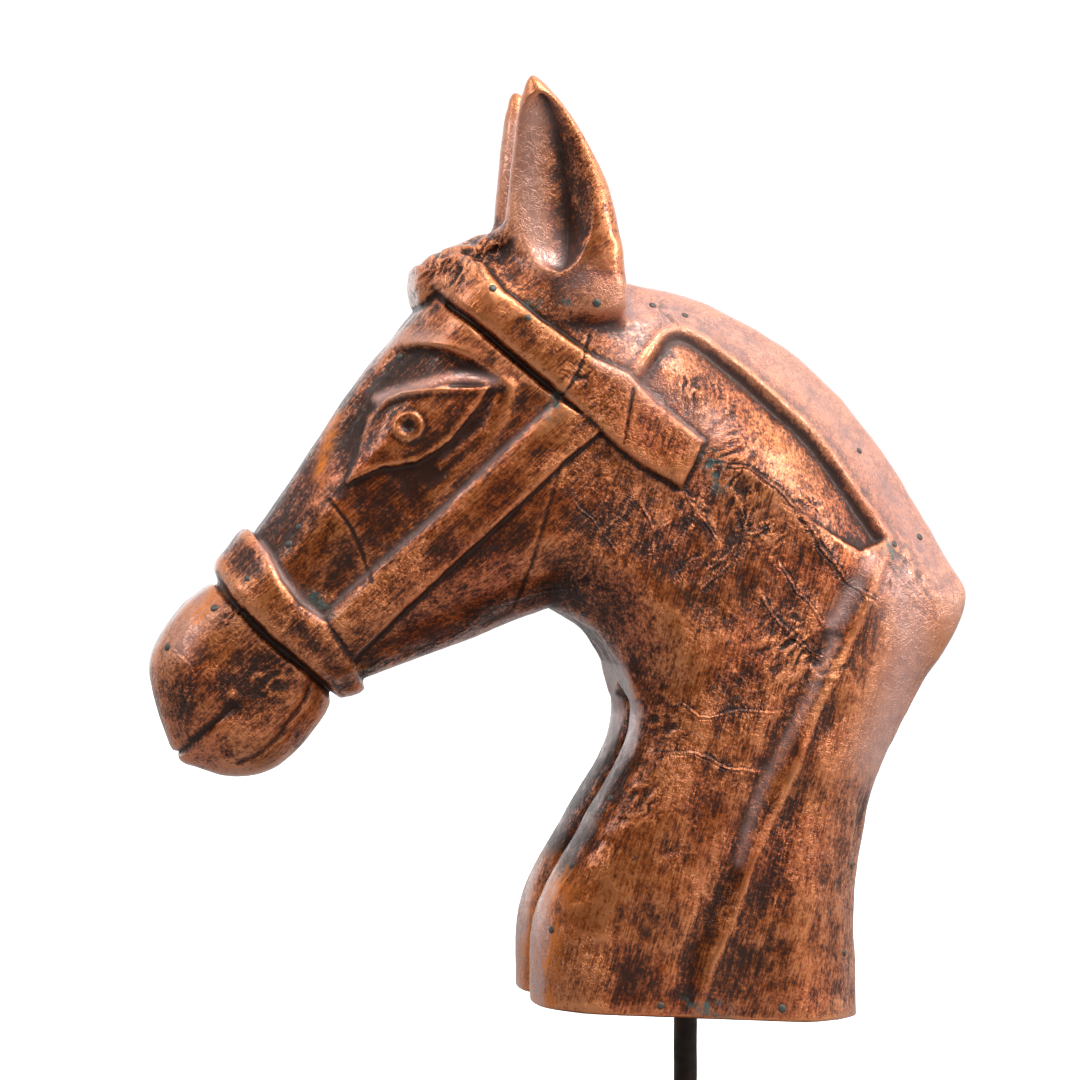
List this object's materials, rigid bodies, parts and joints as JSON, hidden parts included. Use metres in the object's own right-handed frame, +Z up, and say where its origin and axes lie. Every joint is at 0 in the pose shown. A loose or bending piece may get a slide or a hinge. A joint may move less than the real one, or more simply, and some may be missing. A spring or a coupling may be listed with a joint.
{
  "type": "copper-clad carved horse head on a stand",
  "caption": "Carved wooden horse head and neck clad in tacked copper sheet, with bridle, forelock, pricked ears and roached mane, held up on an iron rod and flat foot.",
  "frame": {"origin": "the middle of the foot's underside, on the rod's axis", "axes": "+Z up along the rod, the horse faces -X, and +Y is the horse's right-hand side"},
  "size_m": [0.3446, 0.15, 0.4825],
  "materials": {
    "copper_sheet": "satin",
    "black_iron": "satin"
  },
  "bodies": {
    "root": {"horse_head": "copper_sheet", "stand_rod": "black_iron", "stand_foot": "black_iron"}
  },
  "joints": []
}
